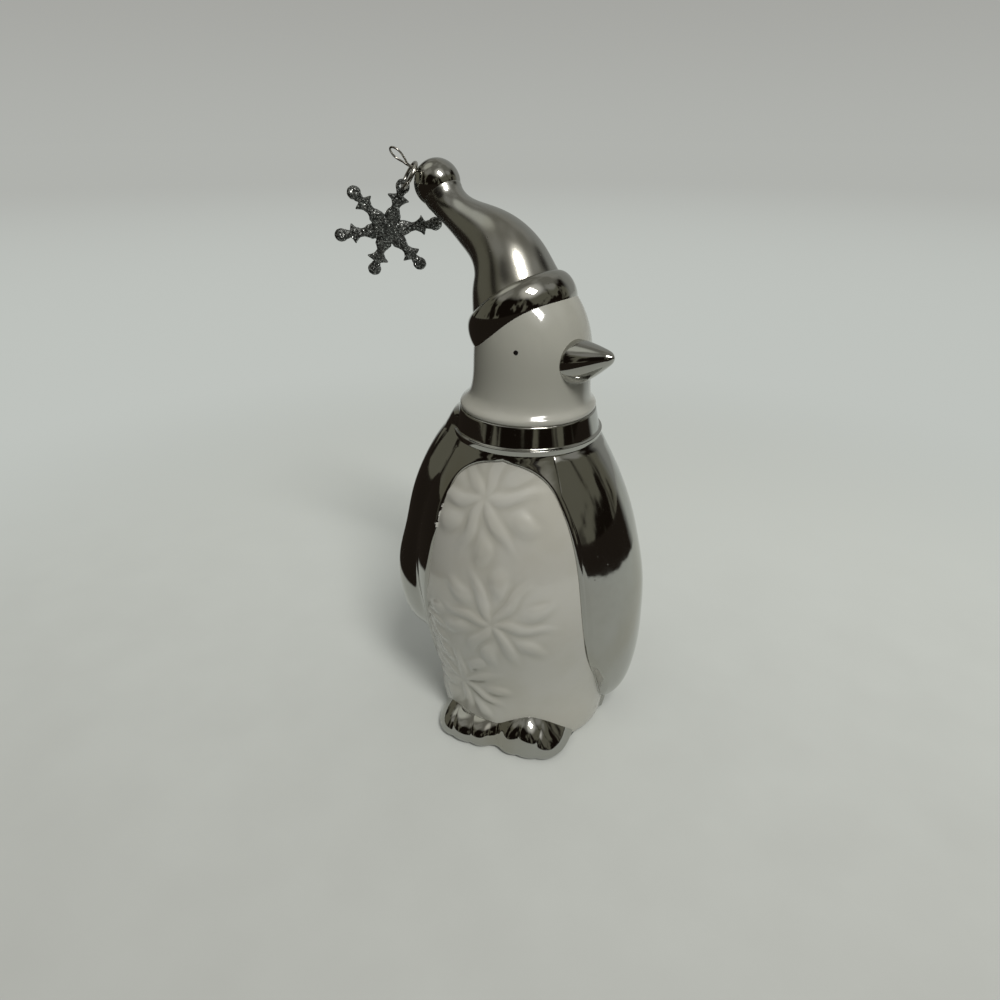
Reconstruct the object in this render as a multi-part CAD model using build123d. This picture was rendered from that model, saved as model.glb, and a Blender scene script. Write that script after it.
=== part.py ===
from build123d import *
from math import asin, atan2, cos, hypot, radians, sin, sqrt
import os

os.makedirs("parts", exist_ok=True)

# A slip-cast penguin about 150 mm tall, in millimetres. It faces -Y, its own left is +X,
# and the origin is the middle of its base, on the table. The head is turned to the left.

# Torso: an egg-shaped casting that stands on a flat base
torso_height = 87.3
torso_width = 59.0
torso_depth = 56.0
belly_lead = 2.5
shell_wall = 3.0
base_edge = 1.6
vent_bore = 8.0
vent_set_back = 11.0
# each row: height, half width, half depth, lead of the section ahead of the base
torso_shares = [
    (0.000, 0.800, 0.775, 0.0),
    (0.060, 0.834, 0.812, 0.0),
    (0.140, 0.852, 0.838, 0.0),
    (0.230, 0.882, 0.872, 0.1),
    (0.340, 0.930, 0.928, 0.4),
    (0.450, 0.972, 0.976, 0.8),
    (0.560, 0.990, 0.985, 1.0),
    (0.670, 0.958, 0.945, 1.0),
    (0.775, 0.890, 0.880, 0.9),
    (0.862, 0.802, 0.790, 0.7),
    (0.935, 0.705, 0.690, 0.4),
    (1.000, 0.597, 0.630, 0.0),
]

# Neck, set in from the foot of the head, and the collar round it
neck_set_in = 1.58
collar_height = 6.9
collar_foot_wall = 2.7
collar_top_wall = 1.6
collar_lip_wall = 3.3
collar_lip_height = 1.4
collar_edge = 0.3

# Coat: the raised layer over back, sides and chest, open over the belly
coat_thickness = 0.8
hem_height = 1.0
# outline of the belly opening seen from the front: half width and height as shares of the torso's
opening_shares = [
    (0.000, 0.990),
    (0.170, 0.978),
    (0.330, 0.950),
    (0.420, 0.922),
    (0.500, 0.875),
    (0.560, 0.820),
    (0.612, 0.755),
    (0.660, 0.680),
    (0.695, 0.600),
    (0.732, 0.470),
    (0.765, 0.335),
    (0.805, 0.248),
    (0.862, 0.097),
    (0.960, -0.080),
]

# Flippers: moulded wings that lie on the coat from the shoulder to the tip
# each row: height as a share of the torso's, reach against the coat, middle heading, half spread
left_flipper_shares = [
    (0.105, 1.090, 88.0, 6.0),
    (0.140, 1.165, 89.0, 15.0),
    (0.230, 1.215, 91.0, 30.0),
    (0.340, 1.190, 92.0, 38.0),
    (0.450, 1.145, 92.0, 42.0),
    (0.560, 1.110, 91.0, 43.0),
    (0.670, 1.085, 89.0, 41.0),
    (0.775, 1.075, 87.0, 39.0),
    (0.862, 1.072, 85.0, 39.0),
    (0.935, 1.074, 84.0, 40.0),
    (1.000, 1.078, 83.0, 41.0),
]
right_flipper_shares = [
    (0.315, 1.060, 75.0, 9.0),
    (0.360, 1.140, 75.0, 20.0),
    (0.450, 1.180, 77.0, 29.0),
    (0.560, 1.175, 80.0, 25.0),
    (0.670, 1.140, 84.0, 25.0),
    (0.775, 1.160, 88.0, 28.0),
    (0.862, 1.185, 90.0, 32.0),
    (0.935, 1.205, 92.0, 37.0),
    (1.000, 1.215, 92.0, 37.0),
    (1.035, 1.180, 90.0, 29.0),
    (1.060, 1.090, 88.0, 19.0),
]

# Feet: a smooth flat sole under each, with three toes and an instep that climbs the belly
foot_front = 27.3
foot_back = 8.0
foot_side = 19.2
sole_height = 2.0
sole_edge = 1.2
sole_outer_corner = 7.5
sole_inner_corner = 1.6
toe_middle = 9.8
toe_pitch = 5.6
toe_front = 27.0
toe_radius = 3.2
toe_length = 6.4
toe_height = 7.0
outer_toe_set_back = 2.0
instep_middle = 7.5
instep_front = 25.5
instep_width = 24.4
instep_length = 20.6
left_instep_height = 14.6
right_instep_height = 10.4

# Head: a hollow casting that flares out onto the collar
head_yaw = 64.0
head_height = 34.0
head_radius = 14.5
head_wall = 3.0
face_lead = 1.3
# each row: height, radius, lead of the section towards the beak
head_shares = [
    (0.000, 1.185, 0.0),
    (0.030, 1.180, 0.0),
    (0.062, 1.120, 0.1),
    (0.100, 1.058, 0.4),
    (0.160, 1.022, 0.7),
    (0.260, 1.005, 0.9),
    (0.380, 1.000, 1.0),
    (0.480, 0.988, 1.0),
    (0.600, 0.950, 0.7),
    (0.720, 0.875, 0.1),
    (0.830, 0.755, -0.7),
    (0.920, 0.575, -1.5),
    (1.000, 0.300, -2.2),
]

# Eyes and beak
eye_height = 17.3
eye_turn = 62.0
eye_radius = 0.52
eye_rise = 0.16
eye_seat_share = 0.990
beak_height = 14.2
beak_tilt = 16.0
beak_length = 10.4
beak_width = 10.4
beak_depth = 10.4
# each row: distance along the beak, half width, half depth
beak_shares = [
    (-0.300, 1.04, 1.05),
    (0.000, 1.00, 1.00),
    (0.250, 0.88, 0.86),
    (0.500, 0.71, 0.67),
    (0.750, 0.50, 0.45),
    (0.920, 0.31, 0.28),
    (1.000, 0.14, 0.13),
]

# Stocking cap: a rolled cuff, a tail that bends back from the beak and a bobble
cap_heading = 248.0
cuff_tilt = 29.0
cuff_set_back = 2.2
cuff_rise = 23.7
cuff_radius = 13.7
cuff_roll = 5.0
cuff_width = 9.2
tail_reach = 30.4
tail_rise = 26.3
tail_radius = 12.4
bobble_radius = 5.8
# each row: set back and rise from the cuff to the bobble, radius
tail_shares = [
    (0.000, 0.000, 1.000),
    (0.090, 0.160, 0.868),
    (0.175, 0.325, 0.755),
    (0.300, 0.490, 0.620),
    (0.520, 0.655, 0.470),
    (0.730, 0.765, 0.395),
    (0.870, 0.860, 0.370),
    (1.000, 1.000, 0.350),
]

# Wire eye set in the bobble, and the ring and charm that hang from it
eye_heading = 305.0
eye_rake = 31.0
eye_wire = 0.55
twist_width = 1.0
twist_length = 2.2
twist_set_in = 3.5
loop_length = 6.0
loop_width = 4.4
loop_turn = 22.0
ring_outer = 7.6
ring_wire = 1.0
ring_slit = 0.12
ring_place = 0.9
link_clearance = 0.1
charm_radius = 12.4
charm_thickness = 1.6
charm_lean = 25.7
charm_turn = 10.8
knob_radius = 1.75
knob_thickness = 2.6
knob_bore = 1.7
hub_share = 0.30
# half outline of one arm: distance from the middle and half width, as shares of charm_radius
arm_shares = [
    (0.160, 0.150),
    (0.340, 0.165),
    (0.450, 0.135),
    (0.530, 0.085),
    (0.600, 0.085),
    (0.770, 0.220),
    (0.745, 0.115),
    (0.800, 0.080),
    (0.980, 0.070),
]

# Cutting tools run past what they cut by this much
overrun = 5.0

upright = (Align.CENTER, Align.CENTER, Align.MIN)


def turned(heading_degrees, distance=1.0, height=0.0):
    """A point at a heading, counted from the front towards the figure's own left."""
    heading = radians(heading_degrees)
    return Vector(distance * sin(heading), -distance * cos(heading), height)


def slab(low, high):
    """Everything between two heights."""
    span = 2 * (torso_width + torso_depth)
    return Pos(0, 0, low) * Box(span, span, high - low, align=upright)


def torso_form(growth):
    """The torso's outer form, every section grown by the same amount."""
    sections = []
    for height, width, depth, lead in torso_shares:
        half_width = width * torso_width / 2 + growth
        half_depth = depth * torso_depth / 2 + growth
        place = Pos(0, -lead * belly_lead, height * torso_height)
        sections.append(place * Ellipse(half_width, half_depth))
    return loft(sections)


def head_form(growth):
    """The head from the collar to its crown, under the cap."""
    sections = []
    for height, radius, lead in head_shares:
        place = turned(head_yaw, lead * face_lead, head_floor + height * head_height)
        sections.append(Pos(place) * Circle(radius * head_radius + growth))
    return loft(sections)


def ellipsoid(width, length, height):
    """A ball stretched to three half sizes."""
    return scale(Sphere(1), by=(width, length, height))


# Torso casting
collar_floor = torso_height
head_floor = collar_floor + collar_height
neck_radius = head_shares[0][1] * head_radius - neck_set_in
neck_bore = neck_radius - shell_wall
torso_outer = torso_form(0)
cavity = torso_form(-shell_wall) & slab(shell_wall, torso_height - shell_wall)
neck = Pos(0, 0, torso_height - shell_wall) * Cylinder(neck_radius, collar_height + shell_wall, align=upright)
throat = Pos(0, 0, torso_height / 2) * Cylinder(neck_bore, torso_height, align=upright)
vent = Pos(0, vent_set_back, 0) * Cylinder(vent_bore / 2, 2 * (shell_wall + overrun))
torso_stand = fillet(torso_outer.edges().group_by(Axis.Z)[0], base_edge)
body_shell = torso_stand + neck - cavity - throat - vent

# Collar with its lip
collar_profile = Polyline(
    (0, collar_floor),
    (neck_radius + collar_lip_wall, collar_floor),
    (neck_radius + collar_lip_wall, collar_floor + collar_lip_height),
    (neck_radius + collar_foot_wall, collar_floor + collar_lip_height),
    (neck_radius + collar_top_wall, head_floor),
    (0, head_floor),
    close=True,
)
collar_form = revolve(Plane.XZ * make_face(collar_profile), Axis.Z)
collar_rims = collar_form.edges().filter_by(GeomType.CIRCLE).sort_by(SortBy.RADIUS)[-2:]
collar = fillet(collar_rims, collar_edge) - neck

# Coat, open over the belly
half_width = torso_width / 2
opening_side = [(x * half_width, z * torso_height) for x, z in opening_shares]
opening_line = Spline([(-x, z) for x, z in reversed(opening_side)] + opening_side[1:])
opening_edge = opening_line + Line(opening_line @ 1, opening_line @ 0)
opening = extrude(Plane.XZ * make_face(opening_edge), torso_depth)
coat_form = torso_form(coat_thickness)
coat_outer = fillet(coat_form.edges().group_by(Axis.Z)[0], base_edge)
coat = coat_outer - torso_stand - opening - slab(-overrun, hem_height)


# Flippers
def coat_section(height):
    """Half width, half depth and lead of the coat at a share of the torso's height."""
    above = next((row for row in torso_shares if row[0] >= height), torso_shares[-1])
    below = [row for row in torso_shares if row[0] <= height][-1]
    blend = 0 if above[0] <= below[0] else (height - below[0]) / (above[0] - below[0])
    width, depth, lead = [low + blend * (high - low) for low, high in zip(below[1:], above[1:])]
    return width * torso_width / 2 + coat_thickness, depth * torso_depth / 2 + coat_thickness, lead * belly_lead


def flipper(side, flipper_shares):
    """One wing: sections that leave the coat at both ends of their spread. Side 1 is its left."""
    sections = []
    for height, reach, heading, spread in flipper_shares:
        coat_width, coat_depth, lead = coat_section(height)
        set_out = (reach ** 2 - 1) / (2 * (reach - cos(radians(spread))))
        middle = turned(side * heading, set_out)
        place = Pos(middle.X * coat_width, middle.Y * coat_depth - lead, height * torso_height)
        sections.append(place * Ellipse((reach - set_out) * coat_width, (reach - set_out) * coat_depth))
    return loft(sections) - coat_outer - collar_form


left_flipper = flipper(1, left_flipper_shares)
right_flipper = flipper(-1, right_flipper_shares)


# Feet
def foot(side, instep_height):
    """One foot: toes side by side on a flat sole, under an instep that runs up the belly."""
    front = FilletPolyline(
        (0, -foot_back), (0, -foot_front), (side * foot_side, -foot_front), (side * foot_side, -foot_back),
        radius=[sole_inner_corner, sole_outer_corner])
    outline = make_face(front + Line(front @ 1, front @ 0))
    sole = extrude(outline, sole_height)
    instep_edge = extrude(outline, instep_height)
    top_edges = sole.edges().group_by(Axis.Z)[-1].sort_by(Axis.Y)[:-1]
    whole = fillet(top_edges, sole_edge)
    for step in (-1, 0, 1):
        set_back = max(step, 0) * outer_toe_set_back
        toe = Pos(side * (toe_middle + step * toe_pitch), set_back + toe_length - toe_front, 0)
        whole += toe * ellipsoid(toe_radius, toe_length, toe_height)
    instep = Pos(side * instep_middle, instep_length / 2 - instep_front, 0)
    whole += instep * ellipsoid(instep_width / 2, instep_length / 2, instep_height) & instep_edge
    return whole & slab(0, 2 * instep_height) - torso_stand


left_foot = foot(1, left_instep_height)
right_foot = foot(-1, right_instep_height)

# Head casting
head_outer = head_form(0)
head_cavity = head_form(-head_wall) & slab(head_floor - overrun, head_floor + head_height - head_wall)
head_shell = head_outer - head_cavity


# Eyes, where the side of the head meets their height
def eye(side):
    """A small dot of glaze, slightly raised."""
    ball_radius = (eye_radius ** 2 + eye_rise ** 2) / (2 * eye_rise)
    middle = turned(head_yaw, face_lead, head_floor + eye_height)
    outward = turned(head_yaw + side * eye_turn, eye_seat_share * head_radius - ball_radius + eye_rise)
    return Pos(middle + outward) * Sphere(ball_radius) - head_outer


left_eye = eye(1)
right_eye = eye(-1)

# Beak
beak_direction = turned(head_yaw, cos(radians(beak_tilt)), sin(radians(beak_tilt)))
beak_start = turned(head_yaw, face_lead + head_radius, head_floor + beak_height)
beak_sections = []
for distance, width, depth in beak_shares:
    station = Plane(beak_start + beak_direction * (distance * beak_length),
                    x_dir=turned(head_yaw + 90), z_dir=beak_direction)
    beak_sections.append(station * Ellipse(width * beak_width / 2, depth * beak_depth / 2))
beak = loft(beak_sections) - head_outer

# Cap: the bobble, the cuff rolled round the head and the tail between them
backward = turned(cap_heading)
across = turned(cap_heading + 90)
cuff_height = head_floor + cuff_rise
cuff_middle = backward * cuff_set_back + Vector(0, 0, cuff_height)
cuff_up = backward * sin(radians(cuff_tilt)) + Vector(0, 0, cos(radians(cuff_tilt)))
bobble_middle = backward * tail_reach + Vector(0, 0, cuff_height + tail_rise)
bobble_ball = Pos(bobble_middle) * Sphere(bobble_radius)
cuff_plane = Plane(cuff_middle, x_dir=across, z_dir=cuff_up)
cuff_section = Pos(cuff_radius - cuff_roll / 2, 0) * Ellipse(cuff_roll / 2, cuff_width / 2)
cuff_form = cuff_plane * revolve(Plane.YZ * cuff_section, Axis.Z)
cap_cuff = cuff_form - head_outer

tail_points = [
    backward * (cuff_set_back + back * (tail_reach - cuff_set_back)) + Vector(0, 0, cuff_height + rise * tail_rise)
    for back, rise, radius in tail_shares]
tail_line = Spline(tail_points, tangents=[cuff_up, tail_points[-1] - tail_points[-2]])
tail_sections = []
for point, (back, rise, radius) in zip(tail_points, tail_shares):
    along = tail_line.tangent_at(point)
    tail_sections.append(Plane(point, x_dir=across, z_dir=along) * Circle(radius * tail_radius))
cap_tail = loft(tail_sections) - head_outer - cuff_form - bobble_ball

# Wire eye: a twisted stem in the bobble with a loop outside it
eye_out = turned(eye_heading, cos(radians(eye_rake)), sin(radians(eye_rake)))
plumb = (Vector(0, 0, -1) + eye_out * eye_out.Z).normalized()
behind = plumb.cross(eye_out)
stem_base = bobble_middle + eye_out * (bobble_radius - twist_set_in)
twist_end = bobble_middle + eye_out * (bobble_radius + twist_length)
twist = Plane(stem_base, z_dir=eye_out) * Cylinder(twist_width / 2, twist_set_in + twist_length, align=upright)
bobble = bobble_ball - twist

loop_bend = (loop_width - eye_wire) / 2
loop_middle = loop_length - eye_wire / 2 - loop_bend
strand = twist_width / 4
to_middle = hypot(loop_middle, strand)
leg_angle = asin(loop_bend / to_middle) - atan2(strand, loop_middle)
leg_length = sqrt(to_middle ** 2 - loop_bend ** 2)
touch = (leg_length * cos(leg_angle), strand + leg_length * sin(leg_angle))
loop_line = Line((0, strand), touch) + ThreePointArc(
    touch, (loop_middle + loop_bend, 0), (touch[0], -touch[1])) + Line((touch[0], -touch[1]), (0, -strand))
loop_wire = sweep(Plane(loop_line @ 0, z_dir=loop_line % 0) * Circle(eye_wire / 2), path=loop_line)
loop_aside = behind * cos(radians(loop_turn)) + plumb * sin(radians(loop_turn))
loop_plane = Plane(twist_end - eye_out * (eye_wire / 2), x_dir=eye_out, z_dir=eye_out.cross(loop_aside))
wire_eye = twist + loop_plane * loop_wire

# Jump ring: hooked round the twist, hanging square to it
hang = plumb * cos(radians(charm_lean)) + behind * sin(radians(charm_lean))
ring_radius = (ring_outer - ring_wire) / 2
ring_pivot = bobble_middle + eye_out * (bobble_radius + ring_place)
ring_middle = ring_pivot + hang * (ring_radius - (twist_width + ring_wire) / 2 - link_clearance)
ring_plane = Plane(ring_middle, x_dir=hang, z_dir=eye_out)
slit = Pos(0, ring_radius, 0) * Box(ring_slit, 2 * ring_wire, 2 * ring_wire)
jump_ring = ring_plane * (Torus(ring_radius, ring_wire / 2) - slit)

# Snowflake charm: six barbed arms with a ball at each end, one of them bored for the ring
charm_pivot = ring_middle + hang * ring_radius
charm_axis = eye_out.cross(hang)
charm_down = hang * cos(radians(charm_turn)) - eye_out * sin(radians(charm_turn))
charm_plane = Plane(charm_pivot + charm_down * charm_radius, x_dir=charm_down * -1, z_dir=charm_axis)
arm_side = [(along * charm_radius, aside * charm_radius) for along, aside in arm_shares]
arm_edge = Polyline(arm_side + [(along, -aside) for along, aside in reversed(arm_side)], close=True)
star = Circle(hub_share * charm_radius) + PolarLocations(0, 6) * make_face(arm_edge)
charm = extrude(star, charm_thickness / 2, both=True)
for knob_place in PolarLocations(charm_radius, 6):
    charm += knob_place * ellipsoid(knob_radius, knob_radius, knob_thickness / 2)
charm -= Pos(charm_radius, 0, 0) * Cylinder(knob_bore / 2, 2 * knob_thickness)
snowflake_charm = charm_plane * charm

pieces = {
    "body_shell": body_shell,
    "head_shell": head_shell,
    "collar": collar,
    "coat": coat,
    "left_flipper": left_flipper,
    "right_flipper": right_flipper,
    "left_foot": left_foot,
    "right_foot": right_foot,
    "left_eye": left_eye,
    "right_eye": right_eye,
    "beak": beak,
    "cap_tail": cap_tail,
    "cap_cuff": cap_cuff,
    "bobble": bobble,
    "wire_eye": wire_eye,
    "jump_ring": jump_ring,
    "snowflake_charm": snowflake_charm,
}
for name, shape in pieces.items():
    export_step(shape, f"parts/{name}.step")
print("ring pivot", ring_pivot, "ring axis", eye_out)
print("charm pivot", charm_pivot, "charm axis", charm_axis)
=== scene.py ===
import bmesh
import bpy
import numpy as np
from mathutils import Matrix


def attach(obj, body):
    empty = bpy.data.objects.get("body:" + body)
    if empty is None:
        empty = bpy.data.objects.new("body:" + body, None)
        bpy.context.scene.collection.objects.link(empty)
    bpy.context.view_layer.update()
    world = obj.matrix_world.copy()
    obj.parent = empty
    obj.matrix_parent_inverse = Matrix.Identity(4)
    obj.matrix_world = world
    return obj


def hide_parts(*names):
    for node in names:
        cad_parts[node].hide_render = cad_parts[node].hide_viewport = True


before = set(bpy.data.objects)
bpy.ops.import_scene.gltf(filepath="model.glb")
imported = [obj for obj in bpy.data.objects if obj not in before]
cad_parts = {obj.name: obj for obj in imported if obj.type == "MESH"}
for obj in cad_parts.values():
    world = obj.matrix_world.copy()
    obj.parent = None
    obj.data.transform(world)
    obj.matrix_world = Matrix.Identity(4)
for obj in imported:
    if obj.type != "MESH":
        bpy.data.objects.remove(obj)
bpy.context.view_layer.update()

# Lengths are in millimetres up to the moment that a mesh is made. The figure faces -Y and its own left is +X.
MM = 0.001
SAME_PLACE = 1e-7  # metres between two points that are welded
upright = np.array([0.0, 0.0, 1.0])


# Working out shapes

def together(*coordinates):
    """Coordinates whose shapes fit together, as one array of points."""
    return np.stack(np.broadcast_arrays(*coordinates), -1)


def turned(degrees, distance=1.0, height=0.0):
    """Points at a heading counted from the front towards the figure's own left: x = d sin a, y = -d cos a."""
    a = np.radians(degrees)
    return together(distance * np.sin(a), -distance * np.cos(a), height)


def way_to(heading, slope):
    """The unit vector towards a heading and a slope above the level, both in degrees."""
    return turned(heading, np.cos(np.radians(slope)), np.sin(np.radians(slope)))


def full_turn(count):
    """Angles spread evenly round a circle."""
    return np.linspace(0, 2 * np.pi, count, endpoint=False)


def unit(vectors):
    """Vectors divided by their own lengths."""
    vectors = np.asarray(vectors, float)
    return vectors / np.linalg.norm(vectors, axis=-1, keepdims=True)


def smooth_curve(table, at):
    """Natural cubic through a table whose first column is the station.

    The second derivatives m solve h0 m0 + 2 (h0 + h1) m1 + h1 m2 = 6 (change of slope) and are 0 at the ends.
    Between two stations the value is a y0 + b y1 + ((a^3 - a) m0 + (b^3 - b) m1) h^2 / 6."""
    table = np.asarray(table, float)
    x, y = table[:, 0], table[:, 1:]
    h = np.diff(x)
    slope = np.diff(y, axis=0) / h[:, None]
    inner = np.arange(1, len(x) - 1)
    system = np.eye(len(x))
    system[inner, inner - 1] = h[:-1]
    system[inner, inner] = 2 * (h[:-1] + h[1:])
    system[inner, inner + 1] = h[1:]
    change = np.zeros_like(y)
    change[1:-1] = 6 * np.diff(slope, axis=0)
    m = np.linalg.solve(system, change)
    at = np.clip(np.asarray(at, float), x[0], x[-1])
    i = np.clip(np.searchsorted(x, at) - 1, 0, len(h) - 1)
    a = ((x[i + 1] - at) / h[i])[..., None]
    b = 1 - a
    bend = (a ** 3 - a) * m[i] + (b ** 3 - b) * m[i + 1]
    value = a * y[i] + b * y[i + 1] + bend * h[i][..., None] ** 2 / 6
    return np.moveaxis(value, -1, 0)


def smooth_line(corners, count):
    """The natural cubic through corners whose first two columns are a place, at even steps of its length."""
    length = np.concatenate([[0], np.cumsum(np.hypot(*np.diff(corners[:, :2], axis=0).T))])
    return smooth_curve(np.column_stack([length, corners]), np.linspace(0, length[-1], count))


def step(low, high, value):
    """Smooth step: t^2 (3 - 2 t) between two limits."""
    t = np.clip((value - low) / (high - low), 0, 1)
    return t * t * (3 - 2 * t)


def soft_max(a, b, width):
    """The greater of two heights, with its corner rounded: (a + b + sqrt((a - b)^2 + w^2)) / 2."""
    return (a + b + np.sqrt((a - b) ** 2 + width ** 2)) / 2


def grid_faces(grid, wrap_rows=False, wrap_columns=True, fans=True):
    """A grid of points, rows x columns, as one shell: a quad between each four neighbours.

    A wrapped direction joins its last line to its first. Open rows are each closed by a fan to their mean.
    The winding is turned round where the signed volume, the sum of a . (b x c) / 6, comes out negative."""
    rows, columns = grid.shape[:2]
    points = grid.reshape(-1, 3)
    r = np.arange(rows if wrap_rows else rows - 1)[:, None]
    c = np.arange(columns if wrap_columns else columns - 1)[None, :]

    def index(i, j):
        return (i % rows) * columns + j % columns

    quads = together(index(r, c), index(r, c + 1), index(r + 1, c + 1), index(r + 1, c)).reshape(-1, 4)
    fan = np.empty((0, 3), int)
    if fans and not wrap_rows:
        j = np.arange(columns)
        low, high = len(points), len(points) + 1
        points = np.vstack([points, grid[0].mean(0), grid[-1].mean(0)])
        fan = np.vstack([
            np.stack([index(0, j + 1), index(0, j), np.full(columns, low)], -1),
            np.stack([index(rows - 1, j), index(rows - 1, j + 1), np.full(columns, high)], -1)])
    centred = points - points.mean(0)
    corners = np.vstack([quads[:, [0, 1, 2]], quads[:, [0, 2, 3]], fan])
    a, b, d = (centred[corners[:, k]] for k in range(3))
    if np.einsum("ij,ij->i", a, np.cross(b, d)).sum() < 0:
        quads, fan = quads[:, ::-1], fan[:, ::-1]
    return points, quads.tolist() + fan.tolist()


def pillow(outer, inner):
    """A skin closed by an inner sheet with the same borders: the rows run out and back in one loop."""
    return grid_faces(np.vstack([outer, inner[::-1]]), wrap_rows=True, wrap_columns=False)


def tube(path, radius, sides, reference, closed=False):
    """A round wire along a path: r (cos u n + sin u b) at each point, with n = t x reference, b = t x n."""
    path = np.asarray(path, float)
    along = unit(np.roll(path, -1, 0) - np.roll(path, 1, 0)) if closed else unit(np.gradient(path, axis=0))
    side = unit(np.cross(along, reference))
    up = np.cross(along, side)
    u = full_turn(sides)[None, :, None]
    radius = np.broadcast_to(np.asarray(radius, float), len(path))[:, None, None]
    around = np.cos(u) * side[:, None] + np.sin(u) * up[:, None]
    return grid_faces(path[:, None] + radius * around, wrap_rows=closed)


def rounded_profile(corners, radii, steps):
    """A closed profile with rounded corners: each corner is replaced by the quadratic curve between two
    points that lie its radius away along its two sides."""
    corners = np.asarray(corners, float)
    before = corners + unit(np.roll(corners, 1, 0) - corners) * np.asarray(radii)[:, None]
    after = corners + unit(np.roll(corners, -1, 0) - corners) * np.asarray(radii)[:, None]
    t = np.linspace(0, 1, steps)[None, :, None]
    curve = (1 - t) ** 2 * before[:, None] + 2 * t * (1 - t) * corners[:, None] + t ** 2 * after[:, None]
    return curve.reshape(-1, 2)


def revolved(profile, columns):
    """A closed profile of (radius, height) carried round the upright axis: (r cos u, r sin u, z)."""
    u = full_turn(columns)[None, :]
    r, z = profile[:, :1], profile[:, 1:]
    return together(r * np.cos(u), r * np.sin(u), z)


def placed(name, data):
    """A new object in the scene."""
    made = bpy.data.objects.new(name, data)
    bpy.context.scene.collection.objects.link(made)
    return made


def piece(name, shells, finish, node, body, marks=None):
    """Puts closed shells into one mesh with its marks, gives it its finish, hides the CAD node that it stands
    for and hangs it on its body.
    """
    points, faces, start = [], [], 0
    for shell_points, shell_faces in shells:
        points.append(shell_points)
        faces += [[k + start for k in face] for face in shell_faces]
        start += len(shell_points)
    mesh = bpy.data.meshes.new(name)
    mesh.from_pydata(np.vstack(points) * MM, [], faces)
    for mark, values in (marks or {}).items():
        layer = mesh.attributes.new(mark, "FLOAT", "POINT")
        full = np.zeros(len(mesh.vertices), np.float32)
        full[:values.size] = values.ravel()
        layer.data.foreach_set("value", full)
    work = bmesh.new()
    work.from_mesh(mesh)
    bmesh.ops.remove_doubles(work, verts=work.verts, dist=SAME_PLACE)
    work.to_mesh(mesh)
    work.free()
    mesh.polygons.foreach_set("use_smooth", np.ones(len(mesh.polygons), bool))
    mesh.materials.append(finish)
    made = placed(name, mesh)
    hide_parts(node)
    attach(made, body)


# Finishes

class Value:
    """One socket of a material. Sums, products and powers of it add their Math nodes."""

    def __init__(self, finish, socket):
        self.finish, self.socket = finish, socket

    def maths(self, operation, first, second):
        return self.finish.node("ShaderNodeMath", {"operation": operation}, {0: first, 1: second})

    def __add__(self, other):
        return self.maths("ADD", self, other)

    def __sub__(self, other):
        return self.maths("SUBTRACT", self, other)

    def __rsub__(self, other):
        return self.maths("SUBTRACT", other, self)

    def __mul__(self, other):
        return self.maths("MULTIPLY", self, other)

    def __truediv__(self, other):
        return self.maths("DIVIDE", self, other)

    def __pow__(self, other):
        return self.maths("POWER", self, other)

    def between(self, low, high):
        """0 below the first limit, 1 above the second, smooth in between."""
        smooth = {"interpolation_type": "SMOOTHSTEP"}
        return self.finish.node("ShaderNodeMapRange", smooth, {0: self, 1: low, 2: high})


class Finish:
    """The nodes of one material or of the world, and the ways in which this file builds them."""

    def __init__(self, owner):
        owner.use_nodes = True
        self.owner, self.tree = owner, owner.node_tree
        self.tree.nodes.clear()

    def node(self, kind, settings=None, values=None, out=0):
        """Adds a node: its settings first, then each socket's value or link."""
        made = self.tree.nodes.new(kind)
        for key, setting in (settings or {}).items():
            setattr(made, key, setting)
        for key, value in (values or {}).items():
            if isinstance(value, Value):
                self.tree.links.new(value.socket, made.inputs[key])
            else:
                made.inputs[key].default_value = value
        return Value(self, made.outputs[out]) if len(made.outputs) else None

    def place(self):
        return self.node("ShaderNodeTexCoord", out="Object")

    def part(self, vector, axis):
        """One coordinate of a vector: 0, 1 or 2 for x, y or z."""
        return self.node("ShaderNodeSeparateXYZ", None, {0: vector}, out=axis)

    def vector(self, operation, values, out=0):
        """Vector Math on the values of its sockets."""
        return self.node("ShaderNodeVectorMath", {"operation": operation}, values, out=out)

    def ray(self, kind):
        """1 for rays of one kind, else 0."""
        return self.node("ShaderNodeLightPath", out=kind)

    def noise(self, scale, detail, stretch=(1, 1, 1), offset=(0, 0, 0)):
        """Noise whose features are about 1 / scale metres across, stretched along the axes."""
        where = self.node("ShaderNodeMapping", None, {0: self.place(), 1: offset, 3: stretch})
        return self.node("ShaderNodeTexNoise", None, {"Vector": where, "Scale": scale, "Detail": detail})

    def cells(self, scale, feature="F1", out=0):
        """Scattered cells about 1 / scale metres across: the distance to a middle, or what out names."""
        return self.node("ShaderNodeTexVoronoi", {"feature": feature},
                         {"Vector": self.place(), "Scale": scale, "Randomness": 1.0}, out=out)

    def mark(self, name):
        return self.node("ShaderNodeAttribute", {"attribute_name": name}, out="Fac")

    def blend(self, factor, first, second):
        """A colour between two colours, each given by a socket or by its red, green and blue."""
        first, second = (each if isinstance(each, Value) else colour(*each) for each in (first, second))
        return self.node("ShaderNodeMix", {"data_type": "RGBA"}, {0: factor, 6: first, 7: second}, out=2)

    def bump(self, height, distance):
        return self.node("ShaderNodeBump", None, {"Strength": 1.0, "Distance": distance, "Height": height})

    def surface(self, **sockets):
        """Ends the material with the general-purpose shader."""
        names = {key.replace("_", " "): value for key, value in sockets.items()}
        shader = self.node("ShaderNodeBsdfPrincipled", None, names)
        self.node("ShaderNodeOutputMaterial", None, {0: shader})
        return self.owner


def new_finish(name):
    return Finish(bpy.data.materials.new(name))


def colour(red, green, blue):
    return (red, green, blue, 1.0)


# the third white darkens the relief's hollows: partly pooled glaze, partly painted shade
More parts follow.
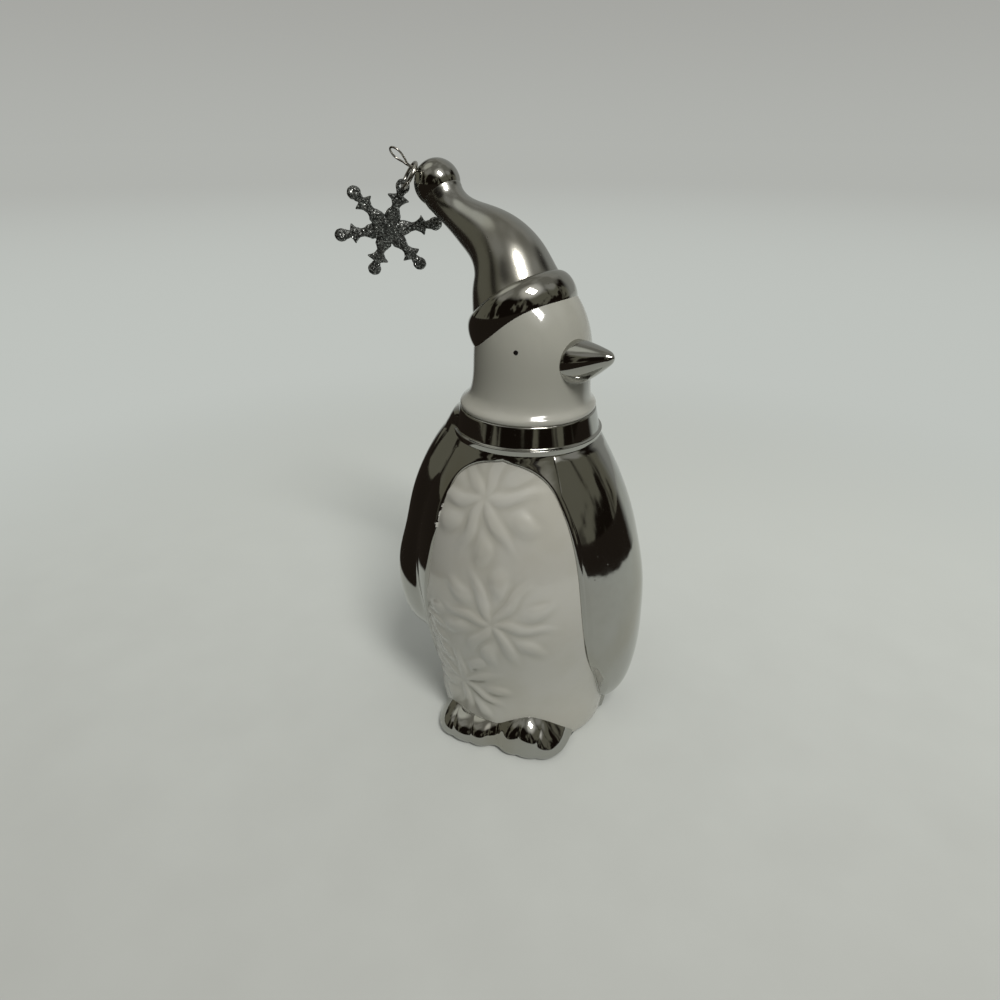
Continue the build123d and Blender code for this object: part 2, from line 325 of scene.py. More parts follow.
WHITE, CLOUDY_WHITE, POOLED_AND_SHADED_WHITE = (0.485, 0.48, 0.44), (0.455, 0.445, 0.395), (0.38, 0.37, 0.32)
# the head's white is painted shade: the same glaze darkened for the head
SHADED_HEAD_WHITE, PINHOLE = (0.370, 0.370, 0.324), (0.12, 0.10, 0.08)
SILVER, THIN_SILVER, WORN_SILVER = (0.43, 0.43, 0.405), (0.39, 0.38, 0.335), (0.20, 0.18, 0.15)


def white_glaze():
    """Glossy white glaze: cloudy, with rare pinholes; greyer in the relief's hollows, partly pooled glaze and
    partly painted shade, and darker from the neck up as painted shade.
    """
    f = new_finish("white_glaze")
    tone = f.blend(f.noise(70, 3.0).between(0.35, 0.7), WHITE, CLOUDY_WHITE)
    # painted shade in the relief's hollows, partly pooled glaze
    tone = f.blend(f.mark("glaze_pool_and_shade") * 0.55, tone, POOLED_AND_SHADED_WHITE)
    # painted shade: the glaze is darkened from the neck up to stand for the shade on the head
    head_shade = f.part(f.place(), 2).between(0.082, 0.105)
    tone = f.blend(head_shade * 0.8, tone, SHADED_HEAD_WHITE)
    rare = f.noise(21, 1.0, offset=(0.7, 0.2, 0.9)).between(0.52, 0.6)
    pinhole = (1 - f.cells(95.0).between(0.018, 0.034)) * rare
    tone = f.blend(pinhole * 0.8, tone, PINHOLE)
    grain = f.noise(900, 2.0, offset=(0.3, 0.1, 0.2))
    ripple = f.noise(150, 2.0) * 0.03 + grain * 0.0015 - pinhole * 0.03
    return f.surface(Base_Color=tone, Roughness=f.noise(260, 2.0) * 0.08 + 0.07 + pinhole * 0.3,
                     IOR=1.52, Coat_Weight=0.35, Coat_Roughness=0.04, Normal=f.bump(ripple, MM))


def silver_glaze(name, flecks=False, haze=0.0):
    """Fired mirror silver: slow waves of the glaze below, thin warm places and worn pinpricks.

    Near the belly opening the silver was brushed up to an edge, so flecks of bare white show there. Haze is
    what a duller silver has in roughness over the others."""
    f = new_finish(name)
    thin = f.noise(60, 3.0, stretch=(1, 1, 0.5), offset=(0.5, 0.5, 0.2)).between(0.45, 0.75)
    rare = f.noise(45, 1.0, offset=(0.1, 0.9, 0.4)).between(0.55, 0.68)
    worn = (1 - f.cells(420.0).between(0.05, 0.11)) * rare
    tone = f.blend(worn * 0.6, f.blend(thin, SILVER, THIN_SILVER), WORN_SILVER)
    patch = f.noise(85, 3.0, stretch=(1, 1, 0.6), offset=(0.9, 0.3, 0.6)).between(0.35, 0.75)
    metal = 1.0
    if flecks:
        bare = (f.noise(1300, 2.0) + f.mark("rim") * 0.42).between(0.80, 0.86)
        tone = f.blend(bare, tone, WHITE)
        metal = 1 - bare
    waves = f.noise(115, 2.0, stretch=(1, 1, 0.45))
    peel = f.noise(620, 1.0, offset=(0.2, 0.4, 0.1))
    ripple = waves * 0.11 + peel * 0.006 - worn * 0.01
    return f.surface(Base_Color=tone, Metallic=metal, Roughness=patch * 0.05 + (0.05 + haze) + worn * 0.2,
                     Normal=f.bump(ripple, MM))


def eye_glaze():
    """Black dot of glaze, a little brown where it is thin."""
    f = new_finish("eye_glaze")
    tone = f.blend(f.noise(1500, 2.0).between(0.4, 0.7), (0.006, 0.006, 0.006), (0.016, 0.012, 0.009))
    return f.surface(Base_Color=tone, Roughness=f.noise(2600, 1.0) * 0.08 + 0.05, IOR=1.52,
                     Normal=f.bump(f.noise(2200, 1.0), 0.01 * MM))


def drawn_wire(name, tone, dark, rough):
    """Drawn wire: fine scratches along it, dulled in patches."""
    f = new_finish(name)
    patch = f.noise(700, 3.0).between(0.4, 0.7)
    scratch = f.noise(5200, 2.0, stretch=(1, 1, 0.25), offset=(0.2, 0.7, 0.4))
    return f.surface(Base_Color=f.blend(patch, tone, dark), Metallic=1.0,
                     Roughness=scratch * 0.14 + rough, Normal=f.bump(scratch, 0.012 * MM))


def glitter_metal():
    """Dark casting coated with glitter: each flake is a cell with its own brightness and its own tilt.

    The normal is the surface's plus the cell's random vector, less its mean, times the tilt."""
    f = new_finish("glitter_metal")
    random = f.cells(2900.0, out="Color")
    chance = f.node("ShaderNodeSeparateColor", None, {0: random}, out=1)
    bright = chance ** 3.0 * f.cells(2900.0, "DISTANCE_TO_EDGE").between(0.02, 0.09)
    tone = f.blend(bright, (0.085, 0.09, 0.085), (0.88, 0.90, 0.88))
    tone = f.blend(f.noise(330, 2.0).between(0.35, 0.7) * 0.35, tone, (0.045, 0.046, 0.044))
    tilt = f.vector("SUBTRACT", {0: random, 1: (0.5, 0.5, 0.5)})
    tilt = f.vector("SCALE", {0: tilt, 3: 1.1})
    bumped = f.bump(f.noise(1500, 2.0), 0.22 * MM)
    leaning = f.vector("NORMALIZE", {0: f.vector("ADD", {0: bumped, 1: tilt})})
    return f.surface(Base_Color=tone, Metallic=0.9, Roughness=0.42 - bright * 0.2, Normal=leaning)


white = white_glaze()
silver = silver_glaze("silver_glaze")
hazy_silver = silver_glaze("hazy_silver_glaze", haze=0.13)
coat_silver = silver_glaze("coat_silver_glaze", flecks=True)
black = eye_glaze()
wire = drawn_wire("wire", (0.46, 0.44, 0.40), (0.24, 0.22, 0.19), 0.24)
ring_metal = drawn_wire("ring_metal", (0.55, 0.54, 0.50), (0.28, 0.27, 0.25), 0.16)
glitter = glitter_metal()


def silvered(name, shell, node, finish=silver):
    """A piece of the figurine under mirror silver."""
    piece(name, [shell], finish, node, "figurine")


# Torso and its relief

torso_height, half_width, half_depth, belly_lead = 87.3, 29.5, 28.0, 2.5
shell_wall, base_edge, hem = 3.0, 1.6, 1.0
vent_bore, vent_set_back = 8.0, 11.0
neck_radius, neck_bore, collar_height = 15.6, 12.6, 6.9
head_floor = torso_height + collar_height
# each row: height, half width, half depth, lead of the section ahead of the base
torso_shares = [
    (0.000, 0.800, 0.775, 0.0), (0.060, 0.834, 0.812, 0.0), (0.140, 0.852, 0.838, 0.0),
    (0.230, 0.882, 0.872, 0.1), (0.340, 0.930, 0.928, 0.4), (0.450, 0.972, 0.976, 0.8),
    (0.560, 0.990, 0.985, 1.0), (0.670, 0.958, 0.945, 1.0), (0.775, 0.890, 0.880, 0.9),
    (0.862, 0.802, 0.790, 0.7), (0.935, 0.705, 0.690, 0.4), (1.000, 0.597, 0.630, 0.0)]


def torso_surface(angle, height, growth=0.0):
    """An ellipse at each height, grown on both half sizes: x = a sin t, y = -lead - b cos t."""
    wide, deep, lead = smooth_curve(torso_shares, height / torso_height)
    x = (wide * half_width + growth) * np.sin(angle)
    y = -lead * belly_lead - (deep * half_depth + growth) * np.cos(angle)
    return together(x, y, height)


relief_starts, relief_ends = (3, 8), (77, 84)  # heights between which the relief fades in and out
# each row: degrees off the arm, start and end on the ray, half width, height
star_bumps = [(0, 0.04, 0.90, 0.100, 0.90), (27, 0.56, 1.04, 0.150, 1.0)]
# each row: middle on the belly, size, turn, height
snow_stars = [((-3.4, 77.0), 14.0, 10, 0.56), ((1.4, 46.5), 14.5, -5, 0.58), ((-9.5, 20.5), 13.0, -27, 0.50),
              ((-23.0, 40.0), 11.0, 5, 0.46)]


def snow_star(x, z, middle, size, turn, height):
    """A six-armed snow star in low relief, seen from the front.

    Each arm is a slim ridge, and beside it, further out, lies a plump leaf. Both are bumps
    exp(-(u^2 + v^2)^1.5) of an ellipse on a ray, and the highest one counts. A slow wave in both directions
    keeps it hand-modelled."""
    wave = 0.4
    dx = (x - middle[0] + wave * np.sin(0.55 * z + 0.3 * x)) / size
    dz = (z - middle[1] + wave * np.sin(0.62 * x - 0.25 * z + 1.0)) / size
    reach, way = np.hypot(dx, dz), np.arctan2(dz, dx)
    highest = np.zeros_like(reach)
    for lean, start, end, plump, level in star_bumps:
        off = (way - np.radians(turn + lean) + np.pi / 6) % (np.pi / 3) - np.pi / 6
        along = (reach * np.cos(off) - (start + end) / 2) / ((end - start) / 2)
        aside = reach * np.sin(off) / plump
        highest = np.maximum(highest, level * np.exp(-(along ** 2 + aside ** 2) ** 1.5))
    return height * highest


def relief(x, z):
    """The highest of the snow stars at each place."""
    return np.max([snow_star(x, z, *row) for row in snow_stars], axis=0)


def relief_hollows(x, z):
    """How far each place lies below the relief round it: the mean of eight shifted copies, less itself."""
    shift, gain = 1.5, 7
    around = np.mean([relief(x + shift * np.cos(a), z + shift * np.sin(a)) for a in full_turn(8)], axis=0)
    return np.clip((around - relief(x, z)) * gain, 0, 1)


def glazed_torso():
    """The casting as rings: the outside with its relief, over the neck, down the inside, out of the vent.

    The columns crowd in front: t = u - c sin u. The relief fades out round the sides, down at the floor and
    up under the top of the opening."""
    columns, rows, crowding = 320, 206, 0.55
    u = np.linspace(-np.pi, np.pi, columns, endpoint=False)
    angle = (u - crowding * np.sin(u))[None, :]
    round_base = base_edge * (1 - np.cos(np.linspace(0, np.pi / 2, 7)[:-1]))
    height = np.concatenate([round_base, np.linspace(base_edge, torso_height, rows)])[:, None]
    inset = base_edge - np.sqrt(np.maximum(base_edge ** 2 - np.clip(base_edge - height, 0, None) ** 2, 0))
    facing = step(0.1, 0.45, np.cos(angle))
    on_belly = facing * step(*relief_starts, height) * (1 - step(*relief_ends, height))
    outside = torso_surface(angle, height)
    raised = relief(outside[..., 0], outside[..., 2]) * on_belly
    outside = torso_surface(angle, height, raised - inset)
    hollow_top = torso_height - shell_wall
    hollow = torso_surface(angle, np.linspace(hollow_top, shell_wall, 16)[:, None], -shell_wall)

    def round_ring(radius, height, back=0.0):
        return together(radius * np.sin(angle), back - radius * np.cos(angle), height)

    neck_top = head_floor - 0.2
    neck = [round_ring(neck_radius, torso_height), round_ring(neck_radius, neck_top),
            round_ring(neck_bore, neck_top), round_ring(neck_bore, hollow_top)]
    vent = [round_ring(vent_bore / 2, level, vent_set_back) for level in (shell_wall, 0.0)]
    grid = np.vstack([outside, *neck, hollow, *vent])
    glaze_pool_and_shade = np.zeros(grid.shape[:2])
    # how deep each place lies in the relief's hollows, for painted shade there that is partly pooled glaze
    glaze_pool_and_shade[:len(outside)] = relief_hollows(outside[..., 0], outside[..., 2]) * facing
    return grid_faces(grid, wrap_rows=True), {"glaze_pool_and_shade": glaze_pool_and_shade}


torso, torso_marks = glazed_torso()
piece("glazed_torso", [torso], white, "body_shell", "figurine", torso_marks)


# Coat and wings

coat_thickness, coat_set_in, coat_under_lip, rim_width = 0.8, 0.35, 0.7, 0.9
# each row: half width of the belly opening and height of its edge there
opening_shares = np.array([
    (0.000, 0.981), (0.170, 0.970), (0.330, 0.943), (0.420, 0.914), (0.500, 0.869),
    (0.560, 0.820), (0.612, 0.755), (0.660, 0.680), (0.695, 0.600), (0.732, 0.470),
    (0.765, 0.335), (0.805, 0.248), (0.862, 0.097), (0.960, -0.080)])


def opening_angle(height):
    """Where the belly opening's edge lies on the torso's section: asin of its half width over the section's.

    The outline is a smooth curve over its own length, so that it may run level at the top."""
    edge_across, edge_height = smooth_line(opening_shares * (half_width, torso_height), 500)
    across = np.interp(height, edge_height[::-1], edge_across[::-1], right=0.0)
    wide = smooth_curve(torso_shares, height / torso_height)[0] * half_width + coat_thickness
    return np.arcsin(np.clip(across / wide, 0, 1))


def opening_shift(height):
    """Between its ends the opening lies a little to the figure's own left: an angle round the torso."""
    share, largest = height / torso_height, 0.06
    return largest * step(0.04, 0.25, share) * (1 - step(0.72, 0.95, share))


def distance_to_edge(angle, height):
    """Distance from the opening's edge on the coat laid flat: a turn t measures t times the mean radius."""
    mean_radius = 27.0
    edge_height = np.linspace(hem - 4, opening_shares[0, 1] * torso_height, 170)
    edge = np.column_stack([mean_radius * opening_angle(edge_height), edge_height])
    start, run = edge[:-1], np.diff(edge, axis=0)
    place = together(mean_radius * np.abs(angle), height)[..., None, :] - start
    share = np.clip((place * run).sum(-1) / (run * run).sum(-1), 0, 1)
    return np.linalg.norm(place - share[..., None] * run, axis=-1).min(-1)


def coat_layer():
    """A raised layer that starts at the opening's edge, climbs over a quarter round and runs round the back.

    Its columns crowd at the edge: u - c sin(2 pi u) / 2 pi. Two stretches of the edge are marked as chipped,
    each by a bump exp(-(h / reach)^2) up the edge that fades away from the rim."""
    columns, rows, crowding = 301, 152, 0.86
    right_at, right_reach, left_at, left_reach, left_share, rim_reach = 69.0, 5.0, 50.0, 3.0, 0.35, 0.7
    u = np.linspace(0, 1, columns)
    share = (u - crowding / (2 * np.pi) * np.sin(2 * np.pi * u))[None, :]
    height = np.linspace(hem, torso_height + coat_under_lip, rows)[:, None]
    first = opening_angle(height)
    plain = first + share * (2 * np.pi - 2 * first)
    front = (plain + np.pi) % (2 * np.pi) - np.pi
    away = np.vstack([distance_to_edge(row[None, :], z[None, :]) for row, z in zip(front, height)])
    away[:, [0, -1]] *= height > opening_shares[0, 1] * torso_height
    rise = np.sqrt(1 - (1 - np.clip(away / rim_width, 0, 1)) ** 2)
    eased_height, eased_depth = 0.5, 0.35
    low_edge = np.clip(1 - (height - hem) / eased_height, 0, 1) ** 2 * eased_depth
    angle = plain + opening_shift(height)
    outer = torso_surface(angle, height, -coat_set_in + (coat_thickness + coat_set_in) * rise - low_edge)
    inner = torso_surface(angle, height, -coat_set_in)
    chipped_right = np.exp(-((height - right_at) / right_reach) ** 2) * (front < 0)
    chipped_left = left_share * np.exp(-((height - left_at) / left_reach) ** 2) * (front > 0)
    rim = np.exp(-away / rim_reach) * (chipped_right + chipped_left)
    return pillow(outer, inner), {"rim": np.vstack([rim, np.zeros_like(rim)])}


coat, coat_marks = coat_layer()
piece("silver_coat", [coat], coat_silver, "coat", "figurine", coat_marks)

collar_foot, collar_top, collar_lip, lip_height = 18.3, 17.2, 18.9, 1.4
# each row: height, reach over the coat, middle heading, half spread
left_wing_shares = [
    (0.080, -0.02, 88.0, 5.0), (0.105, 0.070, 88.0, 8.0), (0.140, 0.150, 89.0, 15.0),
    (0.230, 0.210, 91.0, 30.0), (0.340, 0.190, 92.0, 38.0), (0.450, 0.145, 92.0, 42.0),
    (0.560, 0.110, 91.0, 43.0), (0.670, 0.085, 89.0, 41.0), (0.775, 0.075, 87.0, 39.0),
    (0.862, 0.070, 85.0, 38.0), (0.935, 0.055, 84.0, 38.0), (1.018, 0.005, 83.0, 38.0)]
right_wing_shares = [
    (0.290, -0.03, 75.0, 5.0), (0.315, 0.060, 75.0, 9.0), (0.360, 0.140, 75.0, 20.0),
    (0.450, 0.180, 77.0, 29.0), (0.560, 0.175, 80.0, 25.0), (0.670, 0.140, 84.0, 25.0),
    (0.775, 0.160, 88.0, 28.0), (0.862, 0.185, 90.0, 32.0), (0.935, 0.205, 92.0, 37.0),
    (1.000, 0.200, 92.0, 37.0), (1.035, 0.150, 90.0, 33.0), (1.060, 0.070, 88.0, 28.0),
    (1.078, -0.02, 88.0, 24.0)]


def wing(side, shares):
    """One moulded wing as a swell on the coat: reach (1 - t^2) across its spread, rounded into the coat.

    Its front edge stops where the belly opening starts. Above the torso it lies on the collar. The inner
    sheet runs under the coat and meets the outer one at the border."""
    count, past_spread, border_slope = 150, 1.28, 15
    under, softness, sunk, off_opening, off_collar = -0.5, 0.75, 0.10, 0.008, 0.3
    share = np.linspace(shares[0][0], shares[-1][0], count)[:, None]
    on_torso = np.minimum(share, 1.0)
    reach, heading, spread = smooth_curve(shares, share)
    level = on_torso * torso_height
    edge = opening_angle(level) + side * opening_shift(level) + off_opening
    first = np.clip((np.degrees(edge) - heading) / spread, -past_spread, 0.5)
    t = first + (past_spread - first) * np.linspace(0, 1, count)[None, :]
    angle = side * np.radians(heading + t * spread)
    wide, deep, lead = smooth_curve(torso_shares, on_torso)
    wide, deep = wide * half_width + coat_thickness, deep * half_depth + coat_thickness
    up_collar = np.clip((share - 1.0) * torso_height / collar_height, 0, 1)
    slim = up_collar * (collar_foot - collar_top) + off_collar * step(0, 0.3, up_collar)
    swell = soft_max(reach * (1 - t ** 2) * (wide + deep) / 2, 0.0, softness) - sunk
    inward = np.minimum(1, (1 - np.abs(np.linspace(-1, 1, count))) * border_slope)
    border = inward[None, :] * inward[:, None]

    def sheet(growth):
        x = (wide - slim + growth) * np.sin(angle)
        y = -lead * belly_lead - (deep - slim + growth) * np.cos(angle)
        return together(x, y, share * torso_height)

    return pillow(sheet(under + (swell - under) * border), sheet(under))


silvered("left_wing", wing(1, left_wing_shares), "left_flipper")
silvered("right_wing", wing(-1, right_wing_shares), "right_flipper")


# Collar

def collar_band():
    """A cone-shaped band on a rounded lip, carried round the neck."""
    lip_top = torso_height + lip_height
    corners = [
        (neck_radius, torso_height), (collar_lip - 0.2, torso_height), (collar_lip + 0.1, lip_top + 0.1),
        (collar_foot - 0.05, lip_top + 0.3), (collar_top, head_floor), (neck_radius, head_floor)]
    profile = rounded_profile(corners, [0.2, 0.2, 0.22, 0.3, 0.5, 0.2], 7)
    return grid_faces(revolved(profile, 200), wrap_rows=True)


silvered("collar_band", collar_band(), "collar")


# Feet

foot_side, foot_front, foot_root, toe_middle, toe_pitch = 19.6, 27.2, 11.0, 9.8, 5.6
# each row: way out from the middle, height of the foot there
left_top = [
    (0.0, 10.2), (3.5, 11.7), (7.6, 13.4), (10.0, 13.1), (12.5, 11.7), (15.0, 9.9), (17.5, 8.0), (19.6, 6.8)]
right_top = [(0.0, 10.2), (3.0, 9.4), (6.0, 9.0), (10.0, 8.9), (15.0, 8.5), (17.5, 7.6), (19.6, 6.8)]


def foot(side, top):
    """One foot: at each station across, a superellipse arch from the floor in front, over the toes, to the
    belly.

    The powers of an arch are 2.7, those of its height across 5 and 2.4, and those of the plan 4, with a
    shallow waist in the middle. There the foot runs on for a millimetre and sinks by x^2 / 2 into the other
    one, so that the two meet without an edge. Three toes are the lobes |cos|^(1/2) of the way across, which
    fade out up the arch. The lowest two millimetres are tucked in, as a sponged foot rim is."""
    across = foot_side * np.sin(np.linspace(0, 0.4999 * np.pi, 110))
    x = np.concatenate([[-1.0, -0.75, -0.5, -0.25], across])[:, None]
    out = np.abs(x) / foot_side
    sunk = 0.5 * np.minimum(x, 0) ** 2
    waist = 1.5 * np.exp(-(x / 2.6) ** 2)
    height = smooth_curve(top, x[:, 0])[0][:, None] * (1 - out ** 5) ** (1 / 2.4) - sunk
    ahead = (foot_front - foot_root) * (1 - out ** 4) ** (1 / 4) - waist - sunk
    v = np.linspace(0, np.pi / 2, 80)[None, :]
    toes = 0.55 * (np.sqrt(np.abs(np.cos(np.pi * (x - toe_middle) / toe_pitch))) - 0.6)
    lobe = toes * step(1.6 * toe_pitch, 1.25 * toe_pitch, np.abs(x - toe_middle)) * step(1.15, 0.25, v)
    y = -foot_root - (ahead + lobe) * np.cos(v) ** (2 / 2.7)
    z = (height + lobe) * np.sin(v) ** (2 / 2.7)
    tuck_depth, tuck_height = 1.3, 2.2
    tuck = tuck_depth * np.clip(1 - z / tuck_height, 0, 1) ** 1.5
    y = np.minimum(y + tuck, -foot_root)
    arch = together(side * (x - tuck * np.clip(x / foot_side, 0, 1) ** 3), y, z)
    wall = together(side * x, -foot_root, 0.0)
    return grid_faces(np.concatenate([arch, wall], axis=1))


silvered("left_foot_casting", foot(1, left_top), "left_foot")
silvered("right_foot_casting", foot(-1, right_top), "right_foot")


# Head, eyes and beak

head_yaw, head_height, head_radius, head_wall, face_lead = 64.0, 34.0, 14.5, 3.0, 1.3
# each row: height, radius, lead of the section towards the beak
head_shares = [
    (0.000, 1.165, 0.0), (0.030, 1.180, 0.0), (0.062, 1.120, 0.1), (0.100, 1.058, 0.4), (0.160, 1.022, 0.7),
    (0.260, 1.005, 0.9), (0.380, 1.000, 1.0), (0.480, 0.988, 1.0), (0.600, 0.950, 0.7), (0.720, 0.875, 0.1),
    (0.830, 0.755, -0.7), (0.920, 0.575, -1.5), (1.000, 0.300, -2.2)]


def head_rings(share, growth):
    """Circles whose middles drift towards the beak: middle(h) + r(h) (sin t, -cos t)."""
    radius, lead = smooth_curve(head_shares, share)
    middle = turned(head_yaw, lead * face_lead, head_floor + share * head_height)
    t = np.linspace(0, 360, 144, endpoint=False)
    return middle[:, None] + turned(t)[None] * (radius * head_radius + growth)[:, None, None]


head_outside = head_rings(np.linspace(0, 1, 120), 0.0)
head_inside = head_rings(np.linspace(1 - head_wall / head_height, 0, 24), -head_wall)
head = grid_faces(np.vstack([head_inside, head_outside]))
piece("glazed_head", [head], white, "head_shell", "figurine")

eye_height, eye_turn, eye_radius, eye_rise = 16.9, 62.0, 0.54, 0.16


def eye(side):
    """A dome of glaze: the cap of a ball, a little taller than wide, its rim sunk under the head's glaze."""
    ball, taller, sunk, rim_polar = (eye_radius ** 2 + eye_rise ** 2) / (2 * eye_rise), 1.14, 0.02, 48
    radius, lead = smooth_curve(head_shares, np.array([eye_height / head_height]))
    outward, across = turned(head_yaw + side * eye_turn), turned(head_yaw + side * eye_turn + 90)
    section_middle = turned(head_yaw, lead[0] * face_lead, head_floor + eye_height)
    seat = section_middle + outward * (radius[0] * head_radius - sunk)
    polar = np.linspace(np.radians(rim_polar), 0.001, 20)[:, None, None]
    u = full_turn(40)[None, :, None]
    wide = np.sin(polar) * (1 + 0.03 * np.cos(2 * u + 0.6) + 0.02 * np.sin(3 * u))
    dome = ball * (wide * np.cos(u) * across + taller * wide * np.sin(u) * upright
                   + (np.cos(polar) - 1) * outward) + eye_rise * outward
    return grid_faces(seat + dome)


piece("left_eye_dot", [eye(1)], black, "left_eye", "figurine")
piece("right_eye_dot", [eye(-1)], black, "right_eye", "figurine")

beak_height, beak_tilt, beak_length, beak_half = 14.2, 16.0, 10.4, 5.2
# each row: distance along the beak, half width, half depth
beak_shares = [(-0.300, 1.04, 1.05), (0.000, 1.00, 1.00), (0.250, 0.88, 0.86), (0.500, 0.71, 0.67),
               (0.750, 0.50, 0.45), (0.920, 0.31, 0.28), (1.020, 0.16, 0.15)]


def beak():
    """Ellipses along a straight line, rounded to a tip by the factor sqrt(1 - s^2) over the last tenth."""
    tip_from, tip_length = 0.9, 0.13
    slowing = np.sin(np.linspace(0, np.pi / 2, 16))[1:]
    line = np.concatenate([np.linspace(-0.3, tip_from, 60), tip_from + tip_length * slowing])
    wide, deep = smooth_curve(beak_shares, line)
    tip = np.sqrt(np.clip(1 - np.clip((line - tip_from) / tip_length, 0, 1) ** 2, 0, 1))
    wide, deep = ((beak_half * tip * w)[:, None, None] for w in (wide, deep))
    forward, across = way_to(head_yaw, beak_tilt), turned(head_yaw + 90)
    up = np.cross(forward, across)
    start = turned(head_yaw, face_lead + head_radius, head_floor + beak_height)
    middle = start + forward * (line * beak_length)[:, None]
    u = full_turn(96)[None, :, None]
    return grid_faces(middle[:, None] + np.cos(u) * wide * across + np.sin(u) * deep * up)


silvered("silver_beak", beak(), "beak")


# Stocking cap

cap_heading, cuff_tilt, cuff_set_back, cuff_height = 248.0, 29.0, 2.2, 117.9
cuff_radius, cuff_roll, cuff_width = 13.7, 5.0, 9.2
tail_reach, tail_rise, tail_radius, bobble_radius = 30.4, 26.3, 12.4, 5.8
backward, sideways = turned(cap_heading), turned(cap_heading + 90)
cuff_up = backward * np.sin(np.radians(cuff_tilt)) + upright * np.cos(np.radians(cuff_tilt))
cuff_middle = backward * cuff_set_back + upright * cuff_height
bobble_middle = backward * tail_reach + upright * (cuff_height + tail_rise)
# each row: set back and rise from the cuff to the bobble, radius
tail_shares = np.array([
    (0.000, 0.000, 1.020), (0.076, 0.186, 0.885), (0.142, 0.358, 0.760), (0.268, 0.511, 0.633),
    (0.536, 0.658, 0.467), (0.790, 0.791, 0.365), (0.902, 0.880, 0.380), (1.000, 1.000, 0.380)])


def cap_cuff():
    """A roll of elliptical section round a leaning axis, a little uneven and sagging at its low side."""
    sag_at, sag_width, sag_fat, sag_out, sag_down = np.radians(330), np.radians(50), 0.22, 0.35, 2.7
    u = full_turn(180)[None, :]
    v = full_turn(64)[:, None]
    off_sag = (u - sag_at + np.pi) % (2 * np.pi) - np.pi
    sag = np.exp(-(off_sag / sag_width) ** 2)
    fat = 1 + 0.02 * np.sin(2 * u + 0.5) + 0.012 * np.sin(5 * u) + sag_fat * sag
    r = cuff_radius + cuff_roll / 2 * (fat * np.cos(v) - 1) + sag_out * sag
    z = cuff_width / 2 * fat * np.sin(v) - sag_down * sag
    round_it = np.cos(u)[..., None] * sideways + np.sin(u)[..., None] * np.cross(cuff_up, sideways)
    return grid_faces(cuff_middle + r[..., None] * round_it + z[..., None] * cuff_up, wrap_rows=True)


def cap_tail():
    """Circles square to a smooth bent line. Near the bobble the radius is the softened greater of the tail's
    own and the bobble's section there, so that the tail spreads onto the ball."""
    over_ball, inside_ball, foot_width, trim = 0.02, 0.8, 0.9, 0.06
    back = cuff_set_back + tail_shares[:, 0] * (tail_reach - cuff_set_back)
    corners = np.column_stack([back, tail_shares[:, 1] * tail_rise, tail_shares[:, 2] * tail_radius])
    back, rise, radius = smooth_line(corners, 170)
    line = back[:, None] * backward + (cuff_height + rise)[:, None] * upright
    gap = np.linalg.norm(line - bobble_middle, axis=-1)
    ball = np.sqrt(np.clip((bobble_radius + over_ball) ** 2 - gap ** 2, 0, None))
    ball = ball - inside_ball * (1 - step(2.2, 4.2, gap))
    radius = (soft_max(radius, ball, foot_width) - trim)[:, None, None]
    up = np.cross(unit(np.gradient(line, axis=0)), sideways)
    u = full_turn(120)[None, :, None]
    return grid_faces(line[:, None] + radius * (np.cos(u) * sideways + np.sin(u) * up[:, None]))


silvered("cap_cuff_roll", cap_cuff(), "cap_cuff")
silvered("cap_tail_bend", cap_tail(), "cap_tail", hazy_silver)

eye_heading, eye_rake, eye_wire, twist_width, twist_length, twist_set_in = 305.0, 31.0, 0.5, 1.0, 2.2, 3.5
eye_out = way_to(eye_heading, eye_rake)
plumb = unit(eye_out * eye_out[2] - upright)
behind = np.cross(plumb, eye_out)


def bobble():
    """A ball with a dimple where the wire goes in: r = R + raised glaze - dimple, by angle off the wire."""
    raised, raised_at, raised_width, dimple, dimple_width = 0.12, 0.17, 0.06, 0.35, 0.10
    polar = np.linspace(0.001, np.pi - 0.001, 90)[:, None, None]
    u = full_turn(120)[None, :, None]
    r = bobble_radius + raised * np.exp(-((polar - raised_at) / raised_width) ** 2)
    r = r - dimple * np.exp(-(polar / dimple_width) ** 2)
    r = r + 0.03 * np.sin(2 * polar) * np.cos(2 * u)
    aside = np.cos(u) * plumb + np.sin(u) * behind
    return grid_faces(bobble_middle + r * (np.cos(polar) * eye_out + np.sin(polar) * aside))


silvered("cap_bobble", bobble(), "bobble")


# Wire eye, ring and snowflake

loop_length, loop_width, loop_turn = 6.0, 4.4, 22.0
ring_outer, ring_wire, ring_place, link_clearance = 7.6, 1.0, 0.9, 0.1
charm_radius, charm_lean, charm_turn = 12.4, 25.7, 10.8


